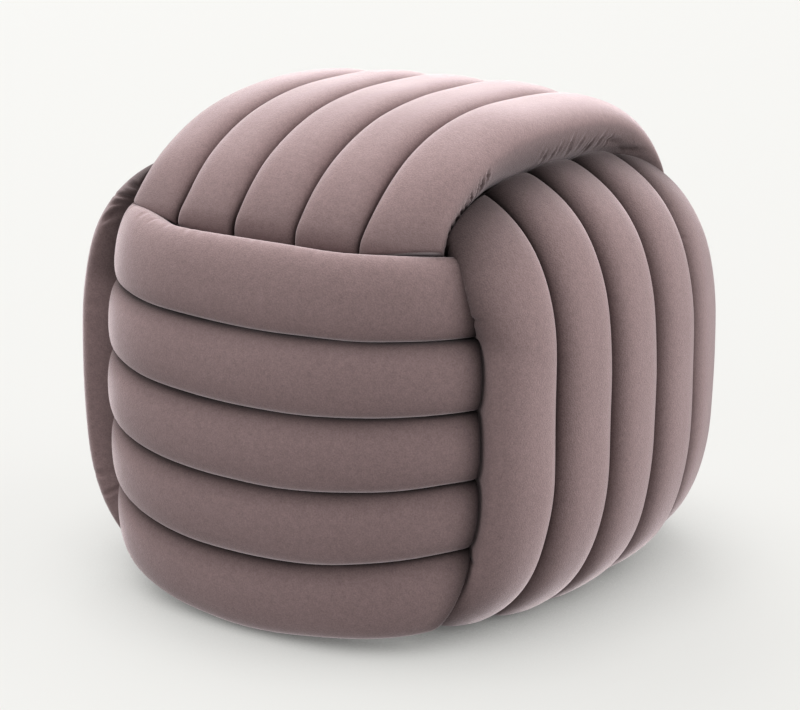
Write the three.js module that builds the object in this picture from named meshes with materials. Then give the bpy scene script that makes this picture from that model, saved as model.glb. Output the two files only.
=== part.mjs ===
// Braided velvet pouf: fifteen stuffed velvet tubes, each sewn into a closed loop and interlaced as three
// bands of five. Every band lies outside on two opposite faces of a rounded cube and dives under the next
// band on two others, so the loops hold each other and need no frame.
//
//   crown loops run front to back over the top and the base, and pass behind the belt
//   belt loops run level across the front and the back, and pass behind the flanks
//   flank loops run upright over the two sides, and pass under the crown
//
// Millimetres, +Z up. The origin is on the floor under the middle of the pouf, and the front faces -Y.
import * as THREE from 'three';

// Driving dimensions
const LOOPS_PER_BAND = 5;
const MIDDLE_LEVEL = 172; // height above the floor of the point that all the loops go round
const ARCH = 9.5; // a tube's crest above the seam beside it
const FILL_DEPTH = 58; // a tube's inner face below that seam, where it lies outside
const LEG_ARCH = 7; // the same two sizes where it is tucked in
const LEG_DEPTH = 31;
const LEG_POWER = 8; // squareness of the curve of the tucked legs, and how far it would reach outwards
const LEG_REACH = 1.4;
const DEPTH_LOSS = 0.45; // share of the depth lost towards the ends of a shown run
const SEAM_GAP = 0.6; // clear space between neighbours
const PRESS_GAP = 2.2; // clear space under a crossing tube, and the extra at the free edge of its row
const PRESS_EDGE_GAP = 8;
const NARROWING_LEAD = 2; // degrees by which a row narrows before it dives

// Shape of a tube's section: power of its outer and inner half, 2 being an ellipse and more being squarer,
// and how much narrower its inner side is, so that a fanned row fits
const OUTER_POWER = 2.3;
const INNER_POWER = 3;
const KEYSTONE = 0.1;

// The fan of a row of five, as angles in degrees, and the extra width of the two tubes at its edges
const SECOND_LEAN = 4.3;
const EDGE_LEAN = 10.8;
const EDGE_WIDENING = 1.075;
const EDGE_DEPTH = 0.72; // depth of those two as a share of the others'

// Each band has a run, an outward and a stack axis.
//   pitch       one tube's width, from seam to seam
//   ends        how much of the pitch is lost towards the ends of the shown run
//   sag         how far the middle of the shown run hangs below its ends
//   power       squareness of the curve of the seams
//   outward     seam level at the middle of the two shown faces
//   aim         where the shown curve would cross the run axis, were it not tucked in
//   leg         seam level of the tucked legs
//   legWidth    width of a tucked leg as a share of the pitch
//   rise        shift of the tucked legs along the stack axis
//   dive        angles from the run axis where the loop is fully tucked and fully outside
//   shownDepth  a tube's inner face below the seam level on each shown face
//   shownWidth  a tube's width on each shown face as a share of the pitch
// A pair is given as { upper, lower } for the upper and lower half of the pouf.
const both = (value) => ({ upper: value, lower: value });
const BANDS = [
  {
    name: 'crown',
    axes: { run: 'y', outward: 'z', stack: 'x' },
    pitch: 58.7,
    ends: 0,
    sag: 0,
    power: { upper: 2.7, lower: 5 },
    outward: { upper: 218.5, lower: 167.5 },
    aim: both(199),
    leg: both(146),
    legWidth: 0.77,
    rise: 0,
    dive: { upper: [26, 40], lower: [46, 54] },
    shownDepth: { upper: FILL_DEPTH, lower: 26 },
    shownWidth: { upper: 1, lower: 0.8 },
  },
  {
    name: 'belt',
    axes: { run: 'x', outward: 'y', stack: 'z' },
    pitch: 60.8,
    ends: 0.154,
    sag: 16.2,
    power: both(2.6),
    outward: both(228),
    aim: both(208.5),
    leg: both(146),
    legWidth: 0.6,
    rise: 14,
    dive: both([33, 44]),
    shownDepth: both(FILL_DEPTH),
    shownWidth: both(1),
  },
  {
    name: 'flank',
    axes: { run: 'z', outward: 'x', stack: 'y' },
    pitch: 64,
    ends: 0.046,
    sag: 0,
    power: both(3.07),
    outward: both(220),
    aim: { upper: 187.7, lower: 185.3 },
    leg: { upper: 146, lower: 131 },
    legWidth: 0.7,
    rise: 0,
    dive: { upper: [31, 43.5], lower: [38.5, 45] },
    shownDepth: both(FILL_DEPTH),
    shownWidth: both(1),
  },
];

// Corners of a section, and where sections stand along a quarter of a loop: as shares of its tucked part and
// of its shown part, with one more halfway down the dive
const SECTION_SIDES = 12;
const TUCKED_STEPS = [0, 0.45, 0.8, 1];
const SHOWN_STEPS = [0, 0.15, 0.4, 0.7, 1];

const velvet = {
  name: 'mauve velvet',
  color: 0x93797c,
  roughness: 0.95,
  metalness: 0,
};

const radians = THREE.MathUtils.degToRad;
const mix = THREE.MathUtils.lerp;

// The half of the pouf that a direction in the loop's plane points to
function loopHalf(band, angle) {
  const up = band.axes.run === 'z' ? Math.cos(angle) : Math.sin(angle);
  return up >= 0 ? 'upper' : 'lower';
}

// Distance from the loop's middle to a superellipse with the given half sizes
function superRadius(angle, halfRun, halfOut, power) {
  const along = (Math.abs(Math.cos(angle)) / halfRun) ** power;
  const out = (Math.abs(Math.sin(angle)) / halfOut) ** power;
  return (along + out) ** (-1 / power);
}

// Sizes of a band's tubes in one direction from the loop's middle
function bandProfile(band, angle) {
  const half = loopHalf(band, angle);
  const fromRun = Math.atan2(Math.abs(Math.sin(angle)), Math.abs(Math.cos(angle)));
  const [tucked, outside] = band.dive[half].map(radians);
  const lead = radians(NARROWING_LEAD);
  const shown = THREE.MathUtils.smoothstep(fromRun, tucked, outside);
  const wide = THREE.MathUtils.smoothstep(fromRun, tucked + lead, outside + lead);
  const aim = band.aim[half];
  const shownSeam = superRadius(angle, aim, band.outward[half], band.power[half]);
  const legSeam = superRadius(angle, band.leg[half], LEG_REACH * band.leg[half], LEG_POWER);
  const along = Math.min(1, (shownSeam * Math.abs(Math.cos(angle))) / aim) ** 2;
  const shownWidth = band.shownWidth[half] * (1 - band.ends * along);
  return {
    shown,
    seam: mix(legSeam, shownSeam, shown),
    halfWidth: (band.pitch / 2) * mix(band.legWidth, shownWidth, wide),
    arch: mix(LEG_ARCH, ARCH, shown),
    depth: mix(LEG_DEPTH, band.shownDepth[half] * (1 - DEPTH_LOSS * along), shown),
    shift: mix(band.rise, -band.sag * (1 - along), shown),
  };
}

// A tube's place in its row: its middle across the row, its set-back from the middle tube's seam level,
// its lean and its half width
function rowPlace(place, profile) {
  const second = radians(SECOND_LEAN);
  const edge = radians(EDGE_LEAN);
  const half = profile.halfWidth;
  const edgeHalf = half * mix(1, EDGE_WIDENING, profile.shown);
  const step = Math.abs(place);
  if (step === 0) {
    return { across: 0, setBack: 0, lean: 0, half, depthShare: 1 };
  }
  if (step === 1) {
    return {
      across: half + half * Math.cos(second),
      setBack: half * Math.sin(second),
      lean: second,
      half,
      depthShare: 1,
    };
  }
  return {
    across: half + 2 * half * Math.cos(second) + edgeHalf * Math.cos(edge),
    setBack: 2 * half * Math.sin(second) + edgeHalf * Math.sin(edge),
    lean: edge,
    half: edgeHalf,
    depthShare: mix(1, EDGE_DEPTH, profile.shown),
  };
}

// A point of the unit section at a turn around the tube. The free side of an edge tube is elliptical.
function sectionPoint(turn, isEdge) {
  const c = Math.cos(turn);
  const s = Math.sin(turn);
  const freeSide = isEdge && c > 0;
  const power = freeSide ? 1 : 2 / (s >= 0 ? OUTER_POWER : INNER_POWER);
  const out = Math.sign(s) * Math.abs(s) ** power;
  const across = Math.sign(c) * Math.abs(c) ** power;
  return { across: across * (1 + KEYSTONE * Math.min(out, 0)), out };
}

// Moves a point of a loop inwards until it is clear of the band that crosses over it
function pressUnder(point, band) {
  const { run, outward, stack } = band.axes;
  const angle = Math.atan2(point[outward], point[run]);
  const profile = bandProfile(band, angle);
  let reach = Math.hypot(point[outward], point[run]);
  for (let place = -2; place <= 2; place += 1) {
    const row = rowPlace(place, profile);
    const hand = place < 0 ? -1 : 1;
    const aside = hand * (point[stack] - profile.shift) - row.across;
    const above = reach - (profile.seam - row.setBack);
    const t = aside * Math.cos(row.lean) - above * Math.sin(row.lean);
    const n = aside * Math.sin(row.lean) + above * Math.cos(row.lean);
    const isFree = Math.abs(place) === 2 && t > 0;
    const gap = isFree ? PRESS_GAP + PRESS_EDGE_GAP * Math.min(1, t / row.half) : PRESS_GAP;
    const off = Math.abs(t) / (row.half + gap);
    if (off < 1 && n < profile.arch) {
      const power = isFree ? 2 : INNER_POWER;
      const inner = -(profile.depth * row.depthShare + gap) * (1 - off ** power) ** (1 / power);
      reach -= Math.max(0, n - inner) / Math.cos(row.lean);
    }
  }
  point[run] = reach * Math.cos(angle);
  point[outward] = reach * Math.sin(angle);
}

// Directions at which a loop gets a section, close together where it dives
function loopAngles(band) {
  const angles = [];
  for (let quarter = 0; quarter < 4; quarter += 1) {
    const [tucked, outside] = band.dive[loopHalf(band, radians(90 * quarter + 45))];
    const steps = [
      ...TUCKED_STEPS.map((share) => share * tucked),
      (tucked + outside) / 2,
      ...SHOWN_STEPS.map((share) => mix(outside, 90, share)),
    ];
    for (let i = 0; i < steps.length - 1; i += 1) {
      const turned = quarter % 2 === 0 ? steps[i] : 90 - steps[steps.length - 1 - i];
      angles.push(radians(90 * quarter + turned));
    }
  }
  return angles;
}

// One closed loop as a ring of sections, each in the plane through the stack axis
function loopGeometry(band, place, over) {
  const angles = loopAngles(band);
  const hand = place < 0 ? -1 : 1;
  const positions = [];
  for (const angle of angles) {
    const profile = bandProfile(band, angle);
    const row = rowPlace(place, profile);
    const depth = profile.depth * row.depthShare;
    for (let i = 0; i < SECTION_SIDES; i += 1) {
      const turn = (2 * Math.PI * i) / SECTION_SIDES;
      const { across, out } = sectionPoint(turn, Math.abs(place) === 2);
      const t = across * (row.half - SEAM_GAP / 2);
      const n = out * (out > 0 ? profile.arch : depth);
      const reach = profile.seam - row.setBack + n * Math.cos(row.lean) - t * Math.sin(row.lean);
      const stack = hand * (row.across + t * Math.cos(row.lean) + n * Math.sin(row.lean));
      const point = new THREE.Vector3();
      point[band.axes.run] = reach * Math.cos(angle);
      point[band.axes.outward] = reach * Math.sin(angle);
      point[band.axes.stack] = stack + profile.shift;
      pressUnder(point, over);
      positions.push(point.x, point.y, Math.max(point.z + MIDDLE_LEVEL, 0));
    }
  }

  const faces = [];
  for (let i = 0; i < angles.length; i += 1) {
    const next = (i + 1) % angles.length;
    for (let j = 0; j < SECTION_SIDES; j += 1) {
      const beside = (j + 1) % SECTION_SIDES;
      const a = i * SECTION_SIDES + j;
      const b = i * SECTION_SIDES + beside;
      const c = next * SECTION_SIDES + beside;
      const d = next * SECTION_SIDES + j;
      if (hand > 0) {
        faces.push(a, b, c, a, c, d);
      } else {
        faces.push(a, c, b, a, d, c);
      }
    }
  }
  const geometry = new THREE.BufferGeometry();
  geometry.setAttribute('position', new THREE.Float32BufferAttribute(positions, 3));
  geometry.setIndex(faces);
  geometry.computeVertexNormals();
  return geometry;
}

const pouf = new THREE.Group();
pouf.name = 'braided_pouf';
for (const [order, band] of BANDS.entries()) {
  const over = BANDS[(order + 1) % BANDS.length];
  for (let index = 0; index < LOOPS_PER_BAND; index += 1) {
    const place = index - (LOOPS_PER_BAND - 1) / 2;
    const geometry = loopGeometry(band, place, over);
    const loop = new THREE.Mesh(geometry, new THREE.MeshStandardMaterial(velvet));
    loop.name = `${band.name}_loop_${index + 1}`;
    pouf.add(loop);
  }
}

export default pouf;
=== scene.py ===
# %% [markdown]
# # A braided velvet pouf
# The pouf is a soft cube of fifteen velvet tubes. Each tube is stuffed, closed into a ring and woven with
# the others in three bands of five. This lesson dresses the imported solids: every ring gets a fine, softly
# stuffed mesh of its own, gathered where it tucks in, and a velvet made of shader nodes.
#
# We load the solids first, because they fix the size and place of everything that follows.

# %% Load the frame
import math
import bpy
import numpy as np
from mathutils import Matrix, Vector


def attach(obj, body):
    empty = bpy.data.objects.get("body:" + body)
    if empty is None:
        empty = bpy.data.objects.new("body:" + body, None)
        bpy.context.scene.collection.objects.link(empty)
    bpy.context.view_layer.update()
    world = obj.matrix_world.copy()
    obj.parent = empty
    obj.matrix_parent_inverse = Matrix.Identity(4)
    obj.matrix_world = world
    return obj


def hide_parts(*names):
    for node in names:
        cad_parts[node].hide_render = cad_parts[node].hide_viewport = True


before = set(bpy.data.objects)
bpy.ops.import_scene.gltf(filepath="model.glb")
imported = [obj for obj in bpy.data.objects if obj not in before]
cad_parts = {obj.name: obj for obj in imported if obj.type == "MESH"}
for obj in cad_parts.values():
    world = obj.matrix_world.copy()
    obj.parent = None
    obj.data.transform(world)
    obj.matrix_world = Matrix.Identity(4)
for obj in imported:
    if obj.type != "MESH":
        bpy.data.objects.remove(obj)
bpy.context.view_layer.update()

# %% [markdown]
# ## How the braid is laid out
# The real maker lays five rings side by side, wraps five more round them at a right angle, and wraps the
# last five round those. Each band then lies outside on two faces of the cube and goes under the next band
# on two others. We could draw every ring by hand, but all fifteen follow one rule, so a table of sizes for
# each band and a few formulas make them all. Sizes are in metres and angles in degrees. A soft thing is
# never quite even, so a size may be a list of four: one for each quarter of the ring, from its run axis
# towards its outward axis.

# %% Sizes of the bands
LOOPS_PER_BAND = 5
EDGE_PLACE = LOOPS_PER_BAND // 2  # a row has places from minus this to this, with 0 in the middle
FILL_DEPTH = 0.058  # a tube's inner face below the seam beside it
AXIS = {"x": 0, "y": 1, "z": 2}

# pitch        one tube's width, from seam to seam
# sag          how far the middle of the shown run hangs below its ends
# rise         shift of the tucked legs along the stack axis
# leg          seam level of the tucked legs, and leg_width their width as a share of the pitch
# outer_power  squareness of a section's outer half, where 2 is an ellipse
# out          seam level at the middle of the shown faces
# aim          where the shown curve would cross the run axis, were it not tucked in
# power        squareness of the shown curve
# ends         share of the pitch lost towards the ends of the shown run
# dive         angle from the run axis at the middle of the dive, and dive_half half of its span
# shown_depth  a tube's inner face below the seams, and shown_width its width as a share of the pitch
# fan          leans of the second and the edge tube on both sides of a row, the edge tube's widening, and how
#              much that tapers along the run
BANDS = [
    {
        "name": "crown", "run": "y", "outward": "z", "stack": "x",
        "pitch": 0.0581, "sag": 0, "rise": 0, "leg": 0.146, "leg_width": 0.77, "outer_power": 2.75,
        "out": [0.2116, 0.2116, 0.1675, 0.1675],
        "aim": [0.1932, 0.2065, 0.199, 0.199],
        "power": [2.77, 2.52, 5, 5],
        "ends": [0, -0.027, 0, 0],
        "dive": [33.2, 30.5, 50, 50],
        "dive_half": [9, 9, 4, 4],
        "shown_depth": [FILL_DEPTH, FILL_DEPTH, 0.026, 0.026],
        "shown_width": [1, 1, 0.8, 0.8],
        "fan": {
            "first": {"second": 4.9, "edge": 8.3, "widening": 1, "taper": 0},
            "last": {"second": 2, "edge": 9.5, "widening": 1.043, "taper": 0.046},
        },
    },
    {
        "name": "belt", "run": "x", "outward": "y", "stack": "z",
        "pitch": 0.06, "sag": 0.0164, "rise": 0.014, "leg": 0.146, "leg_width": 0.6, "outer_power": 2.3,
        "out": 0.2256,
        "aim": [0.2108, 0.2108, 0.2021, 0.2108],
        "power": 2.64,
        "ends": [0.149, 0.149, 0.128, 0.149],
        "dive": [33.5, 33.5, 42.3, 33.5],
        "dive_half": [8, 8, 6, 8],
        "shown_depth": FILL_DEPTH,
        "shown_width": 1,
        "fan": {
            "first": {"second": 3.1, "edge": 6.2, "widening": 1.054, "taper": 0},
            "last": {"second": 4.3, "edge": 11.1, "widening": 1.111, "taper": 0.018},
        },
    },
    {
        "name": "flank", "run": "z", "outward": "x", "stack": "y",
        "pitch": 0.0647, "sag": 0, "rise": 0, "leg": [0.146, 0.131, 0.131, 0.146], "leg_width": 0.7,
        "outer_power": 2.3,
        "out": [0.2163, 0.2163, 0.222, 0.222],
        "aim": [0.1859, 0.191, 0.191, 0.1859],
        "power": [3.23, 3.06, 3.06, 3.23],
        "ends": [0.114, -0.04, -0.04, 0.114],
        "dive": [31.6, 40.5, 40.5, 31.6],
        "dive_half": [9, 3.5, 3.5, 9],
        "shown_depth": FILL_DEPTH,
        "shown_width": 1,
        "fan": {
            "first": {
                "second": 7.1,
                "edge": [13, 13, 11.1, 11.1],
                "widening": [0.987, 0.987, 1.113, 1.113],
                "taper": 0,
            },
            "last": {
                "second": 4.3,
                "edge": [18.8, 18.8, 11.1, 11.1],
                "widening": [1.13, 1.13, 1.15, 1.15],
                "taper": 0,
            },
        },
    },
]
for band in BANDS:
    print(band["name"], "tubes are", round(1000 * band["pitch"], 1), "mm wide")

# %% [markdown]
# ## The line of a ring
# Seen along its band, a ring is a rounded square where it shows, and a smaller one where it is tucked in. A
# smooth step between the two makes the dive. A curve object with a bevel could follow such a line, but its
# section would stay round. A stuffed tube is squeezed flat by its neighbours, so we work out the mesh
# itself.


# %% Small formulas
def smooth_step(value, low, high):
    share = np.clip((value - low) / (high - low), 0, 1)
    return share * share * (3 - 2 * share)


def mix(first, second, share):
    return first + (second - first) * share


def by_quarter(value, angle):
    four = np.array(value if isinstance(value, list) else [value] * 4)
    return four[np.floor(np.mod(angle, 2 * math.pi) / (math.pi / 2)).astype(int) % 4]


def super_radius(angle, half_run, half_out, power):
    """Distance from the middle to a rounded square with the given half sizes."""
    along = (np.abs(np.cos(angle)) / half_run) ** power
    out = (np.abs(np.sin(angle)) / half_out) ** power
    return (along + out) ** (-1 / power)


def from_run_axis(angle):
    return np.arctan2(np.abs(np.sin(angle)), np.abs(np.cos(angle)))


print("a square of power 3 reaches", round(float(super_radius(math.pi / 4, 1, 1, 3)), 3), "to its corner")

# %% Sizes all round a ring
ARCH = 0.0158  # a tube's crest above the seam beside it
LEG_ARCH = 0.007  # the same where it is tucked in
LEG_DEPTH = 0.031
LEG_POWER = 8
LEG_REACH = 1.4  # how far the tucked curve would go outwards, against its seam level
LEG_LEANS = (4.3, 10.8)  # how the second and the edge tube of a row lean where they are tucked in
LEAN_SETTLED = 0.4  # share of the dive after which the leans are those of the shown run
DEPTH_LOSS = 0.45  # share of the depth lost towards the ends of a shown run
END_ARCH = 0.5  # share of the arch left where the next band presses a tube flat
END_RISE = 0.5  # how far the seams rise there, as a share of the arch lost
FLAT_FROM = 0.6  # share of the dive where the arch starts to grow back
FLAT_SPAN = math.radians(14)  # and the turn of the ring after the dive where it is back
NARROWING_LAG = math.radians(3)  # a tube narrows only when it is out of sight


def band_profile(band, angle):
    """Sizes of a band's tubes in each direction from the loops' middle."""
    size = {key: by_quarter(band[key], angle) for key in (
        "out", "aim", "power", "ends", "leg", "dive", "dive_half", "shown_depth", "shown_width")}
    turned = from_run_axis(angle)
    tucked = np.radians(size["dive"] - size["dive_half"])
    outside = np.radians(size["dive"] + size["dive_half"])
    shown = smooth_step(turned, tucked, outside)
    wide = smooth_step(turned, tucked - NARROWING_LAG, mix(tucked, outside, 0.5) - NARROWING_LAG)
    shown_seam = super_radius(angle, size["aim"], size["out"], size["power"])
    leg_seam = super_radius(angle, size["leg"], LEG_REACH * size["leg"], LEG_POWER)
    along = np.minimum(1, shown_seam * np.abs(np.cos(angle)) / size["aim"]) ** 2
    shown_width = size["shown_width"] * (1 - size["ends"] * along)
    free = smooth_step(turned, mix(tucked, outside, FLAT_FROM), outside + FLAT_SPAN)
    arch = ARCH * mix(END_ARCH, 1, free)
    shown_seam = shown_seam + END_RISE * (ARCH - arch)
    fan = {}
    for side, values in band["fan"].items():
        face = {key: by_quarter(value, angle) for key, value in values.items()}
        settled = smooth_step(shown, 0, LEAN_SETTLED)
        fan[side] = {
            "second": np.radians(mix(LEG_LEANS[0], face["second"], settled)),
            "edge": np.radians(mix(LEG_LEANS[1], face["edge"], settled)),
            "widening": mix(1, face["widening"] + face["taper"] * np.cos(angle), shown),
        }
    return {
        "shown": shown,
        "seam": mix(leg_seam, shown_seam, shown),
        "half_width": band["pitch"] / 2 * mix(band["leg_width"], shown_width, wide),
        "arch": mix(LEG_ARCH, arch, shown),
        "depth": mix(LEG_DEPTH, size["shown_depth"] * (1 - DEPTH_LOSS * along), shown),
        "shift": mix(band["rise"], -band["sag"] * (1 - along), shown),
        "fan": fan,
    }


for band in BANDS:
    crest = band_profile(band, math.pi / 2)
    print(band["name"], "crests stand", round(float(crest["seam"] + crest["arch"]), 3), "m from the middle")

# %% [markdown]
# ## Five tubes in a row
# The five tubes of a band lie in a fan: the middle one is flat, and the others lean out and step back to
# follow the rounded cube. Five equal tubes on a flat row would be simpler, but the corners of the cube
# would be sharp.

# %% A tube's place in its row
EDGE_DEPTH = 0.72  # depth of the edge tubes as a share of the others'


def is_edge(place):
    return abs(place) == EDGE_PLACE


def hand_of(place):
    """The side of the row: tubes before the middle are mirrored."""
    return -1 if place < 0 else 1


def loop_name(band, place):
    return f"{band['name']}_loop_{place + EDGE_PLACE + 1}"


def row_place(place, profile):
    """A tube's middle across its row, set-back, lean, half width and share of the depth."""
    half = profile["half_width"]
    if place == 0:
        return 0 * half, 0 * half, 0 * half, half, 1
    fan = profile["fan"]["first" if place < 0 else "last"]
    second = fan["second"]
    if not is_edge(place):
        return half * (1 + np.cos(second)), half * np.sin(second), second, half, 1
    edge_half = half * fan["widening"]
    across = half * (1 + 2 * np.cos(second)) + edge_half * np.cos(fan["edge"])
    set_back = 2 * half * np.sin(second) + edge_half * np.sin(fan["edge"])
    return across, set_back, fan["edge"], edge_half, mix(1, EDGE_DEPTH, profile["shown"])


for band in BANDS:
    across, set_back, *_ = row_place(EDGE_PLACE, band_profile(band, math.pi / 2))
    off_middle = [round(float(size), 3) for size in (across, set_back)]
    print(loop_name(band, EDGE_PLACE), "stands aside and back by", off_middle, "m")

# %% [markdown]
# ## The section of a tube
# A stuffed tube alone is round. In a row its neighbours press its sides flat, and only the free side of the
# last tube stays round. A superellipse gives both with one power, where a drawn outline would need two.

# %% Section
INNER_POWER = 3
KEYSTONE = 0.1  # how much narrower the inner side is, so that a fanned row fits


def section(turn, has_free_side, outer_power):
    """A tube's unit section: flat-sided against its neighbours, round on the free side of a row."""
    c = np.cos(turn)
    s = np.sin(turn)
    power = 2 / np.where(s >= 0, outer_power, INNER_POWER)
    if has_free_side:
        power = np.where(c > 0, 1, power)
    out = np.sign(s) * np.abs(s) ** power
    across = np.sign(c) * np.abs(c) ** power
    return across * (1 + KEYSTONE * np.minimum(out, 0)), out


across, out = section(np.linspace(0, 2 * math.pi, 400), False, 2.3)
fill = abs(np.sum(across[1:] * out[:-1] - across[:-1] * out[1:])) / 8
print("a middle tube fills", round(float(fill), 2), "of its box")

# %% [markdown]
# ## Pressing one band under the next
# Where two tubes cross, the outer one presses the inner one in. Blender could find this contact by
# simulation, but fifteen linked rings would have to collide at once. A formula is steadier: any point of
# the inner tube that would lie inside the outer tube's section slides inwards until it is clear.

# %% Contact
PRESS_GAP = 0.0008  # clear space under a crossing tube
CONTACT = 0.96  # share of the half width at which a crossed tube comes out from under a free edge
LEAVING_SLOPE = 3  # and how steeply
ROLL_RADIUS = 0.004  # softness of the roll into that crease
ROLL_FROM, ROLL_TO = 0.5, 1.1  # shares of the half width between which the roll grows
HIDDEN_RADIUS = 0.001
BASE_RELIEF = {"crown": 0, "belt": 0, "flank": 0.08}  # by how much a band frees its neighbour under the base
RELIEF_TO = 1.2  # share of the half width where that is full


def press_under(points, band):
    """Slides points inwards, in the plane of the crossing band's rings, until they are clear of it.

    Gives back how far each point is from the crossing band's free edges.
    """
    run, outward, stack = (AXIS[band[key]] for key in ("run", "outward", "stack"))
    angle = np.arctan2(points[..., outward], points[..., run])
    profile = band_profile(band, angle)
    reach = np.hypot(points[..., outward], points[..., run])
    relief = np.maximum(0, -BASE_RELIEF[band["name"]] * np.cos(angle) * (1 - profile["shown"]))
    to_edge = np.full(reach.shape, np.inf)
    for place in range(-EDGE_PLACE, EDGE_PLACE + 1):
        across, set_back, lean, half, depth_share = row_place(place, profile)
        aside = hand_of(place) * (points[..., stack] - profile["shift"]) - across
        above = reach - (profile["seam"] - set_back)
        t = aside * np.cos(lean) - above * np.sin(lean)
        n = aside * np.sin(lean) + above * np.cos(lean)
        depth = profile["depth"] * depth_share + PRESS_GAP
        off = np.abs(t) / (half + PRESS_GAP)
        is_free = is_edge(place) & (t > 0)
        power = np.where(is_free, 2, INNER_POWER)
        inner = -depth * np.maximum(0, 1 - np.minimum(off, CONTACT) ** power) ** (1 / power)
        leaving = LEAVING_SLOPE * np.maximum(0, off - CONTACT) * half
        freed = relief * smooth_step(off, CONTACT, RELIEF_TO)
        limit = inner + np.where(is_free, leaving, 0) + np.where(is_free, freed, 0)
        radius = np.where(is_free, ROLL_RADIUS * smooth_step(off, ROLL_FROM, ROLL_TO), HIDDEN_RADIUS)
        level = (n + limit - np.sqrt((n - limit) ** 2 + radius**2)) / 2
        if is_edge(place):
            to_edge = np.where(t > 0, np.minimum(to_edge, np.maximum(0, t - CONTACT * half)), to_edge)
        reach = reach - np.where(is_free | (off < 1), (n - level) / np.cos(lean), 0)
    points[..., run] = reach * np.cos(angle)
    points[..., outward] = reach * np.sin(angle)
    return to_edge


probe = np.array([[0, -0.2, 0]])
press_under(probe, BANDS[1])
print("behind the belt, a point slides in from 0.2 to", round(float(-probe[0, 1]), 3), "m")

# %% [markdown]
# ## A fine grid for each ring
# A ring is a grid that closes both ways: steps along the ring and steps round the tube. The steps are
# closest where the ring dives in, since the velvet gathers there, and on the tube's outer half. The rest is
# inside.

# %% Steps of the grid
EDGE_STEPS = (800, 72)  # along the ring and round the tube, for the outer rings of a band
INNER_STEPS = (320, 48)
OUTER_CROWDING = 0.45  # how much closer the steps are on a tube's outer side
SHOWN_CROWDING = 1.2  # and along the ring where it shows
DIVE_CROWDING = 3  # and where it dives
GATHER_AHEAD = math.radians(13)  # from the dive to the middle of its gathers
GATHER_SPAN = math.radians(15)
FINE_STEPS = 3600


def ring_directions(band, steps):
    fine = np.linspace(0, 2 * math.pi, FINE_STEPS + 1)
    gathers = from_run_axis(fine) - np.radians(by_quarter(band["dive"], fine)) - GATHER_AHEAD
    shown = band_profile(band, fine)["shown"]
    density = 1 + SHOWN_CROWDING * shown + DIVE_CROWDING * np.exp(-((gathers / GATHER_SPAN) ** 2))
    count = np.concatenate([[0], np.cumsum(density[1:] + density[:-1])])
    return np.interp(np.arange(steps) / steps * count[-1], count, fine)


def tube_turns(steps):
    even = np.linspace(0, 2 * math.pi, steps, endpoint=False)
    return even + OUTER_CROWDING * np.cos(even)


steps = np.degrees(np.diff(ring_directions(BANDS[0], EDGE_STEPS[0])))
print("steps along an edge ring of the crown:", round(steps.min(), 2), "to", round(steps.max(), 2), "degrees")

# %% [markdown]
# ## Uneven stuffing
# Stuffing pushed in by hand leaves a tube higher in one place and fuller in another. Sculpting could show
# that, but it would be lost when a size changes. A short list of soft bumps moves with the formulas.

# %% Bumps
UNEVEN_COLUMNS = ("loop", "angle", "spread", "height", "swell")
UNEVEN = [  # where a tube stands higher, and where its free side is fuller: degrees and millimetres
    ("crown_loop_1", 80, 34, 5.5, 0),
    ("crown_loop_1", 150, 8, 7, 0),
    ("crown_loop_2", 75, 30, 3, 0),
    ("crown_loop_2", 150, 8, 5, 0),
    ("crown_loop_3", 65, 26, 2, 0),
    ("crown_loop_4", 52, 24, 6, 0),
    ("crown_loop_5", 50, 22, 7.5, 0),
    ("crown_loop_5", 95, 22, 2.4, 0),
    ("crown_loop_5", 141, 7, 0, 6),
    ("belt_loop_5", 236, 8, 0, 4),
    ("belt_loop_1", 311, 15, 0, 7),
    ("belt_loop_5", 322, 12, -5, 0),
    ("flank_loop_1", 40, 12, 0, 7),
    ("flank_loop_1", 58, 9, 0, 10),
    ("flank_loop_5", 90, 35, 0, 11),
]
MILLIMETRE = 0.001


def apart(angle, other):
    """The turn from one angle to another, between half a turn back and half a turn on."""
    return np.mod(angle - other + math.pi, 2 * math.pi) - math.pi


def unevenness(node, angle):
    """How much higher a tube stands and how much fuller its free side is, in each direction."""
    height = 0 * angle
    swell = 0 * angle
    for row in UNEVEN:
        part = dict(zip(UNEVEN_COLUMNS, row))
        if part["loop"] == node:
            away = apart(angle, math.radians(part["angle"])) / math.radians(part["spread"])
            height = height + part["height"] * MILLIMETRE * np.exp(-(away**2))
            swell = swell + part["swell"] * MILLIMETRE * np.exp(-(away**2))
    return height, swell


print("bumps:", len(UNEVEN), "on", len({row[0] for row in UNEVEN}), "tubes")

# %% [markdown]
# ## Painted shade in the creases
# The velvet is darkened with painted shade: in a seam, under a crossing tube, on the side of each tube that
# faces away from the light, and where a free side turns down. The lamps alone make only part of this shade,
# because the hairs are not modelled. So each point of the mesh keeps a number between 0 and 1, its painted
# shade, and the velvet below darkens with it. We could paint such a mask by hand, but the distances to the
# seams and edges are known here.

# %% Shades
SEAM_SHADE = 0.7  # painted shade in a seam, as a share of colour and sheen
SEAM_SHADE_WIDTH = 0.005
RIM_SHADE = 0.5  # painted shade, narrower, on the side that catches the light up to the seam
RIM_SHADE_WIDTH = 0.0018
# width of the painted shade on the side away from the light
LEE_SHADE_WIDTH = 0.014
FOOT_SHADE_SINES = (-0.5, 0.55)  # painted shade where a free side turns down out of the light
# Per band: the side of each tube painted darker, away from the light, then the shares of painted shade there,
# beside a crossing band and at a foot
SHADES = {
    "crown": {"lee_side": 1, "lee": 0, "edge": 0.35, "edge_width": 0.028, "foot": 0.6},
    "belt": {"lee_side": 1, "lee": 0.55, "edge": 0.88, "edge_width": 0.014, "foot": 0},
    "flank": {"lee_side": -1, "lee": 0.4, "edge": 0.85, "edge_width": 0.045, "foot": 0},
}


def fading(distance, width):
    return np.exp(-((distance / width) ** 2))


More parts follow.
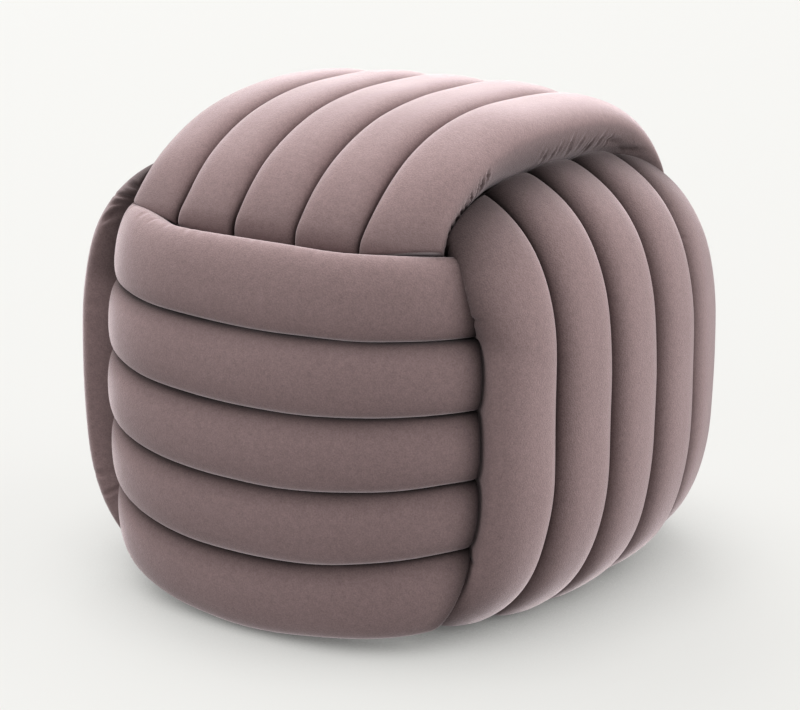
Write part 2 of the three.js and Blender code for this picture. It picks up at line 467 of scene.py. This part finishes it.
def painted_crease_shade(band, place, turn, to_seam, to_edge):
    """Painted shade: the share of its colour and sheen that each point of a ring loses."""
    shade = SHADES[band["name"]]
    if is_edge(place):
        to_seam = np.where(np.cos(turn) > 0, np.inf, to_seam)
    is_lee = hand_of(place) * shade["lee_side"] * np.cos(turn) > 0
    seam_width = np.where(is_lee, SEAM_SHADE_WIDTH, RIM_SHADE_WIDTH)
    # painted shade: by a seam, on the side away from the light, beside a crossing band, under a free side
    losses = [
        np.where(is_lee, SEAM_SHADE, RIM_SHADE) * fading(to_seam, seam_width),
        shade["lee"] * is_lee * fading(to_seam, LEE_SHADE_WIDTH),
        shade["edge"] * fading(to_edge, shade["edge_width"]),
        shade["foot"] * is_lee * np.isinf(to_seam) * smooth_step(-np.sin(turn), *FOOT_SHADE_SINES),
    ]
    return 1 - np.prod([1 - loss for loss in losses], axis=0)


print("shade 5 mm from a seam:", round(float(SEAM_SHADE * fading(0.005, SEAM_SHADE_WIDTH)), 2))

# %% [markdown]
# ## The rings themselves
# Now the line, the section, the bumps and the contact come together. Each ring is first laid out round the
# point that all the loops go round, then pressed under the crossing band, then lifted to stand on the
# floor.

# %% Points of the rings
MIDDLE_LEVEL = 0.172  # height of the point that all the loops go round
SEAM_GAP = 0.0005


def ring_points(band, place, over):
    """The grid of one ring, and the painted shade of each of its points."""
    steps_along, steps_round = EDGE_STEPS if is_edge(place) else INNER_STEPS
    angle = ring_directions(band, steps_along)[:, None]
    turn = tube_turns(steps_round)[None, :]
    profile = band_profile(band, angle)
    across_row, set_back, lean, half, depth_share = row_place(place, profile)
    across, out = section(turn, is_edge(place), band["outer_power"])
    height, swell = unevenness(loop_name(band, place), angle)
    t = across * (half - SEAM_GAP / 2) + swell * np.maximum(np.cos(turn), 0)
    n = out * np.where(out > 0, profile["arch"], profile["depth"] * depth_share)
    reach = profile["seam"] + height - set_back + n * np.cos(lean) - t * np.sin(lean)
    points = np.zeros(reach.shape + (3,))
    points[..., AXIS[band["run"]]] = reach * np.cos(angle)
    points[..., AXIS[band["outward"]]] = reach * np.sin(angle)
    stack = hand_of(place) * (across_row + t * np.cos(lean) + n * np.sin(lean))
    points[..., AXIS[band["stack"]]] = stack + profile["shift"]
    to_edge = press_under(points, over)
    points[..., 2] = np.maximum(points[..., 2] + MIDDLE_LEVEL, 0)
    to_seam = np.hypot(half - np.abs(t), np.maximum(n, 0))
    return points, painted_crease_shade(band, place, turn, to_seam, to_edge)


ring_grids = {}
for order, band in enumerate(BANDS):
    over = BANDS[(order + 1) % len(BANDS)]
    for place in range(-EDGE_PLACE, EDGE_PLACE + 1):
        ring_grids[loop_name(band, place)] = ring_points(band, place, over)
print("rings:", len(ring_grids), "points:", sum(painted_shade.size for points, painted_shade in ring_grids.values()))

# %% [markdown]
# ## Gathers and folds
# A ring bends hard where it dives in, so its cloth has too much length on the inner side and puckers. A
# cloth simulation would find folds of its own, but not these. Each fold is a short trough with a low ridge
# on both sides, pushed into the grid along the normal. A row of the table is a row of gathers, unevenly
# spaced.

# %% Rows of gathers
GATHER_COLUMNS = (
    "loop", "angle", "last_angle", "turn", "last_turn", "count", "slant", "length", "width", "depth")
GATHERS = [  # places in degrees along the ring and round the tube, sizes in millimetres
    ("crown_loop_5", 116, 124, -14, -10, 4, 80, 5, 1.6, 3),
    ("crown_loop_5", 126, 138, -18, -26, 6, 75, 6, 1.6, 3),
    ("crown_loop_5", 94, 66, -22, -22, 11, 75, 5, 1.3, 1.1),
    ("crown_loop_5", 64, 54, -22, -24, 3, 12, 14, 2.2, 1.8),
    ("crown_loop_1", 46, 66, -24, -24, 7, 78, 6, 1.5, 1.5),
    ("crown_loop_1", 112, 134, -26, -26, 8, 78, 6, 1.5, 1.5),
    ("flank_loop_1", 48, 58, -14, -19, 5, 97, 6, 1.3, 1.8),
    ("flank_loop_1", 63, 63, -17, -17, 1, 95, 9, 1.8, 2.2),
    ("flank_loop_1", 118, 121, -27, -22, 2, 80, 9, 1.8, 1.5),
    ("flank_loop_1", 304.5, 313, 6, 27, 4, -33, 12, 1.9, 3.2),
    ("flank_loop_1", 300, 287, -6, -12, 2, 82, 13, 2.8, 1.2),
    ("flank_loop_1", 242, 239, -2, -4, 2, 80, 8, 1.8, 1.3),
    ("flank_loop_5", 62, 62, 155, 155, 1, 80, 7, 1.6, 1.2),
    ("flank_loop_5", 46, 58, -16, -16, 5, 85, 7, 1.5, 1.5),
    ("flank_loop_5", 302, 314, 4, 24, 5, 40, 10, 2, 2),
    ("belt_loop_5", 40, 54, -10, -10, 5, 84, 7, 1.5, 1.4),
    ("belt_loop_5", 126, 140, -10, -10, 5, 96, 7, 1.5, 1.4),
    ("belt_loop_5", 222, 322, 14, 14, 19, 88, 4, 2.2, 0.4),
    ("belt_loop_1", 42, 54, -10, -10, 4, 84, 7, 1.5, 1.4),
    ("belt_loop_1", 126, 138, -10, -10, 4, 96, 7, 1.5, 1.4),
]
JITTER = 0.3  # how uneven a row of gathers is
TURN_JITTER = 4  # degrees
SLANT_JITTER = 14


def folds_of(row, rng):
    """The single folds of one row of gathers, unevenly spaced."""
    gather = dict(zip(GATHER_COLUMNS, row))
    for number in range(gather["count"]):
        share = (number + rng.uniform(-JITTER, JITTER)) / max(1, gather["count"] - 1)
        turn = mix(gather["turn"], gather["last_turn"], share) + rng.uniform(-TURN_JITTER, TURN_JITTER)
        fold = {
            "angle": math.radians(mix(gather["angle"], gather["last_angle"], share)),
            "turn": math.radians(turn),
            "slant": math.radians(gather["slant"] + rng.uniform(-SLANT_JITTER, SLANT_JITTER)),
        }
        for size in ("length", "width", "depth"):
            fold[size] = gather[size] * MILLIMETRE * rng.uniform(1 - JITTER, 1 + JITTER)
        yield fold


print("rows of gathers:", len(GATHERS), "folds:", sum(row[GATHER_COLUMNS.index("count")] for row in GATHERS))

# %% One fold
RIDGE = 0.35  # height of a fold's ridges against its depth
RIDGE_PLACE = 2  # and how far to the side they stand, in widths of the fold
FOLD_REACH = 2  # how far above and below its own level a fold still works, in lengths of the fold


def unit(vectors):
    return vectors / np.maximum(np.linalg.norm(vectors, axis=-1, keepdims=True), 1e-12)


def along_and_normal(points, hand):
    along = unit(np.roll(points, -1, 0) - np.roll(points, 1, 0))
    round_tube = np.roll(points, -1, 1) - np.roll(points, 1, 1)
    return along, hand * unit(np.cross(round_tube, along))


def press_fold(points, directions, turns, normal, along, fold):
    """Pushes one trough with its two ridges into a ring's grid."""
    i = np.argmin(np.abs(apart(directions, fold["angle"])))
    j = np.argmin(np.abs(apart(turns, fold["turn"])))
    across = np.cross(normal[i, j], along[i, j])
    line = math.cos(fold["slant"]) * along[i, j] + math.sin(fold["slant"]) * across
    side = np.cross(normal[i, j], line)
    offset = points - points[i, j]
    u = offset @ line / fold["length"]
    v = offset @ side / fold["width"]
    lift = offset @ normal[i, j] / (FOLD_REACH * fold["length"])
    trough = np.exp(-(v**2)) - RIDGE * np.exp(-((np.abs(v) - RIDGE_PLACE) ** 2))
    facing = np.clip(np.sum(normal * normal[i, j], -1), 0, 1)
    amount = fold["depth"] * trough * np.exp(-(u**2) - lift**2) * facing
    points -= amount[..., None] * normal


print("a fold's ridges are", round(100 * RIDGE), "percent of its depth")

# %% [markdown]
# ## Lumps, and the meshes
# Fibre filling is never quite smooth, so slow waves in many directions lift each tube by a fifth of a
# millimetre or so. A displace modifier with a cloud texture would do the same, but the mesh is in our hands
# already. Then every grid becomes a mesh that carries its painted shade, with smooth shading.

# %% Lumps
LUMP_HEIGHT = 0.00022
LUMP_WAVES = 40
LUMP_LENGTHS = (0.05, 0.14)


def lumps(points, rng):
    """A slow, even unevenness between -1 and 1 or a little more."""
    total = np.zeros(points.shape[:2])
    for _ in range(LUMP_WAVES):
        heading = rng.normal(size=3)
        length = rng.uniform(*LUMP_LENGTHS)
        wave = points @ (heading / np.linalg.norm(heading)) * (2 * math.pi / length)
        total += np.sin(wave + rng.uniform(0, 2 * math.pi))
    return total / math.sqrt(LUMP_WAVES / 2)


print("lumps are", LUMP_LENGTHS, "m long")


# %% Build the rings
def ring_object(name, points, painted_shade, hand):
    """A mesh that closes both ways, with its faces turned outwards."""
    if hand < 0:
        points = points[:, ::-1]
        painted_shade = painted_shade[:, ::-1]
    along, round_tube = points.shape[:2]
    i, j = np.meshgrid(np.arange(along), np.arange(round_tube), indexing="ij")
    after = (i + 1) % along
    beside = (j + 1) % round_tube
    corners = ((i, j), (i, beside), (after, beside), (after, j))
    faces = np.stack([row * round_tube + column for row, column in corners], -1).reshape(-1, 4)
    mesh = bpy.data.meshes.new(name)
    mesh.from_pydata(points.reshape(-1, 3).tolist(), [], faces.tolist())
    mesh.shade_smooth()
    mesh.attributes.new("painted_shade", "FLOAT", "POINT").data.foreach_set("value", painted_shade.ravel())
    ring = bpy.data.objects.new(name, mesh)
    bpy.context.scene.collection.objects.link(ring)
    return ring


rng = np.random.default_rng(5)
rings = {}
for band in BANDS:
    for place in range(-EDGE_PLACE, EDGE_PLACE + 1):
        node = loop_name(band, place)
        points, painted_shade = ring_grids[node]
        directions = ring_directions(band, points.shape[0])
        turns = tube_turns(points.shape[1])
        along, normal = along_and_normal(points, hand_of(place))
        points += LUMP_HEIGHT * lumps(points, rng)[..., None] * normal
        for row in GATHERS:
            if row[0] == node:
                for fold in folds_of(row, rng):
                    press_fold(points, directions, turns, normal, along, fold)
        points[..., 2] = np.maximum(points[..., 2], 0)
        rings[node] = ring_object("velvet_" + node, points, painted_shade, hand_of(place))
print("meshes:", len(rings), "triangles:", sum(2 * len(ring.data.polygons) for ring in rings.values()))

# %% [markdown]
# ## Velvet
# Velvet is a dense short pile. Seen straight on, light sinks between the hairs and it looks dark. Seen at a
# slant, the hair tips catch the light and it looks pale. The sheen of the Principled shader does just that.
# A photo of velvet would also show its mottled pile, but two noises do so at every size: tufts of hair, and
# the wider patches where a hand has brushed them. The painted shade of the mesh dims the colour and the sheen
# together.


# %% Node helpers
def math_node(tree, operation, *values):
    """A Math node. A value that is another node's socket is linked, and a number is set."""
    node = tree.nodes.new("ShaderNodeMath")
    node.operation = operation
    for socket, value in zip(node.inputs, values):
        if isinstance(value, bpy.types.NodeSocket):
            tree.links.new(value, socket)
        else:
            socket.default_value = value
    return node.outputs["Value"]


def noise_node(tree, place, scale, detail):
    noise = tree.nodes.new("ShaderNodeTexNoise")
    noise.inputs["Scale"].default_value = scale
    noise.inputs["Detail"].default_value = detail
    tree.links.new(place, noise.inputs["Vector"])
    return noise.outputs["Fac"]


print("helpers for nodes: ready")

# %% Velvet material
VELVET_DEEP = (0.2, 0.139, 0.138, 1)
VELVET_PALE = (0.305, 0.214, 0.212, 1)
SHEEN_TINT = (1, 0.86, 0.89, 1)
PILE_SCALE = 900  # hair tufts to the metre
NAP_SCALE = 210  # brushed patches to the metre
PILE_SHARE = 0.7  # of the mottling, the rest being brushed patches
NAP_SHARE = 0.3
TONE_FROM, TONE_TO = 0.3, 0.7  # noise values of the deepest and the palest tone
PILE_HEIGHT = 0.0006


def velvet_material():
    velvet = bpy.data.materials.new("mauve_velvet")
    velvet.use_nodes = True
    tree = velvet.node_tree
    shader = tree.nodes["Principled BSDF"]
    shader.inputs["Roughness"].default_value = 0.95
    shader.inputs["Specular IOR Level"].default_value = 0.1
    shader.inputs["Sheen Roughness"].default_value = 0.38
    shader.inputs["Sheen Tint"].default_value = SHEEN_TINT
    place = tree.nodes.new("ShaderNodeTexCoord").outputs["Object"]
    nap = noise_node(tree, place, NAP_SCALE, 3)
    pile = noise_node(tree, place, PILE_SCALE, 2)
    mottling = math_node(tree, "MULTIPLY_ADD", pile, PILE_SHARE, math_node(tree, "MULTIPLY", nap, NAP_SHARE))
    tone = tree.nodes.new("ShaderNodeValToRGB")
    deepest, palest = tone.color_ramp.elements
    deepest.position, deepest.color = TONE_FROM, VELVET_DEEP
    palest.position, palest.color = TONE_TO, VELVET_PALE
    # painted shade from the mesh dims the colour and the sheen
    painted_shade = tree.nodes.new("ShaderNodeAttribute")
    painted_shade.attribute_name = "painted_shade"
    light_left = math_node(tree, "SUBTRACT", 1, painted_shade.outputs["Fac"])
    shaded = tree.nodes.new("ShaderNodeVectorMath")
    shaded.operation = "SCALE"
    bump = tree.nodes.new("ShaderNodeBump")
    bump.inputs["Strength"].default_value = 0.5
    bump.inputs["Distance"].default_value = PILE_HEIGHT
    tree.links.new(mottling, tone.inputs["Fac"])
    tree.links.new(tone.outputs["Color"], shaded.inputs[0])
    tree.links.new(light_left, shaded.inputs["Scale"])
    tree.links.new(shaded.outputs["Vector"], shader.inputs["Base Color"])
    tree.links.new(light_left, shader.inputs["Sheen Weight"])
    tree.links.new(pile, bump.inputs["Height"])
    tree.links.new(bump.outputs["Normal"], shader.inputs["Normal"])
    return velvet


velvet = velvet_material()
print("velvet nodes:", len(velvet.node_tree.nodes))

# %% [markdown]
# ## Dressing the solids
# Each ring now takes the place of its imported solid, which is hidden. It rides on the root body and wears
# the velvet.

# %% Dress
for node, ring in rings.items():
    ring.data.materials.append(velvet)
    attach(ring, "root")
    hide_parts(node)
print("dressed:", len(rings))

# %% [markdown]
# ## Floor
# A studio floor is a sweep of pale paper under a lot of light. Lit by our lamps alone, it would send a glow
# up under the tubes. So it shines a little by itself, is kept from lighting the velvet, and dims close to
# the pouf, where real paper would lose most of its light.

# %% Pale paper
FLOOR_HALF = 12
PAPER_COLOUR = (0.1, 0.1, 0.098, 1)
PAPER_GLOW_COLOUR = (1, 0.995, 0.965, 1)
PAPER_GLOW = 0.69
CONTACT_REACH = 0.12  # painted contact shadow: the floor's glow dims this close to the pouf
CONTACT_SHADE = 0.9
CONTACT_POWER = 2  # how fast that fades with the distance


def paper_material():
    paper = bpy.data.materials.new("pale_paper")
    paper.use_nodes = True
    tree = paper.node_tree
    shader = tree.nodes["Principled BSDF"]
    shader.inputs["Base Color"].default_value = PAPER_COLOUR
    shader.inputs["Emission Color"].default_value = PAPER_GLOW_COLOUR
    shader.inputs["Roughness"].default_value = 0.9
    shader.inputs["Specular IOR Level"].default_value = 0.1
    # painted contact shadow: less glow where the pouf hides the floor's sky
    open_sky = tree.nodes.new("ShaderNodeAmbientOcclusion")
    open_sky.samples = 8
    open_sky.inputs["Distance"].default_value = CONTACT_REACH
    covered = math_node(tree, "SUBTRACT", 1, open_sky.outputs["AO"])
    near = math_node(tree, "POWER", covered, CONTACT_POWER)
    glow = math_node(tree, "MULTIPLY_ADD", near, -CONTACT_SHADE * PAPER_GLOW, PAPER_GLOW)
    tree.links.new(glow, shader.inputs["Emission Strength"])
    return paper


floor_mesh = bpy.data.meshes.new("floor")
floor_corners = [(x * FLOOR_HALF, y * FLOOR_HALF, 0) for x, y in ((-1, -1), (1, -1), (1, 1), (-1, 1))]
floor_mesh.from_pydata(floor_corners, [], [(0, 1, 2, 3)])
floor_mesh.materials.append(paper_material())
floor = bpy.data.objects.new("floor", floor_mesh)
bpy.context.scene.collection.objects.link(floor)
floor.visible_diffuse = False  # the studio light alone lights the velvet
print("floor:", 2 * FLOOR_HALF, "m across")

# %% [markdown]
# ## Light
# Soft boxes all round a studio leave no hard shadow. Area lamps near the pouf would do, but their
# brightness changes with every move. Wide suns stay the same wherever the pouf stands: strong ones from the
# back and the left, weak ones from the other sides, and a sky that is darker below.

# %% Sky
SKY_COLOUR = (1, 0.99, 0.98, 1)
SKY_LEVELS = {"From Min": -0.5, "From Max": 0.2, "To Min": 0.2, "To Max": 0.42}  # heights, then strengths


def studio_sky():
    world = bpy.data.worlds.new("studio")
    world.use_nodes = True
    tree = world.node_tree
    place = tree.nodes.new("ShaderNodeTexCoord")
    split = tree.nodes.new("ShaderNodeSeparateXYZ")
    level = tree.nodes.new("ShaderNodeMapRange")
    for socket, value in SKY_LEVELS.items():
        level.inputs[socket].default_value = value
    background = tree.nodes["Background"]
    background.inputs["Color"].default_value = SKY_COLOUR
    tree.links.new(place.outputs["Generated"], split.inputs["Vector"])
    tree.links.new(split.outputs["Z"], level.inputs["Value"])
    tree.links.new(level.outputs["Result"], background.inputs["Strength"])
    return world


bpy.context.scene.world = studio_sky()
bpy.context.scene.view_settings.view_transform = "Standard"
print("sky:", SKY_LEVELS["To Min"], "below to", SKY_LEVELS["To Max"], "above")

# %% Lamps
LAMP_COLUMNS = ("name", "azimuth", "elevation", "strength", "spread")
LAMPS = [  # azimuth goes round from the front to the right, in degrees
    ("back_left", -130, 38, 2.2, 35),
    ("left", -85, 48, 1.3, 40),
    ("overhead", -100, 68, 1.3, 45),
    ("right", 120, 40, 1.2, 40),
    ("low_back", 145, 8, 2.9, 35),
    ("low_right", 85, 5, 0.7, 40),
    ("front", -10, 10, 1.2, 50),
]


def direction(azimuth, elevation):
    """The way from the pouf to a lamp or a camera, both angles in radians."""
    level = math.cos(elevation)
    return Vector((math.sin(azimuth) * level, -math.cos(azimuth) * level, math.sin(elevation)))


def soft_sun(name, azimuth, elevation, strength, spread):
    lamp = bpy.data.lights.new(name, "SUN")
    lamp.energy = strength
    lamp.angle = math.radians(spread)
    holder = bpy.data.objects.new(name, lamp)
    towards = direction(math.radians(azimuth), math.radians(elevation))
    holder.rotation_euler = towards.to_track_quat("Z", "Y").to_euler()
    bpy.context.scene.collection.objects.link(holder)


for row in LAMPS:
    soft_sun(**dict(zip(LAMP_COLUMNS, row)))
print("lamps:", len(LAMPS))

# %% [markdown]
# ## Camera
# The camera stands two metres away, a little to the right and above, with a long lens. A near camera with a
# short lens would show the same faces but bend their edges. The focal length is given in pixels of the
# frame, as a camera match gives it, and turned into millimetres of Blender's sensor.

# %% Camera
CAMERA_AZIMUTH = math.radians(36.21)
CAMERA_ELEVATION = math.radians(15.66)
CAMERA_DISTANCE = 2.064
CAMERA_TARGET = Vector((-0.0026, -0.0019, 0.1716))
FOCAL_PIXELS = 2484
FRAME_WIDTH = 800  # pixels
SENSOR_WIDTH = 36

camera = bpy.data.cameras.new("camera")
camera.sensor_width = SENSOR_WIDTH
camera.lens = FOCAL_PIXELS / FRAME_WIDTH * SENSOR_WIDTH
camera_holder = bpy.data.objects.new("camera", camera)
back = direction(CAMERA_AZIMUTH, CAMERA_ELEVATION)
camera_holder.location = CAMERA_TARGET + back * CAMERA_DISTANCE
camera_holder.rotation_euler = back.to_track_quat("Z", "Y").to_euler()
bpy.context.scene.collection.objects.link(camera_holder)
bpy.context.scene.camera = camera_holder
print("lens:", round(camera.lens, 1), "mm")
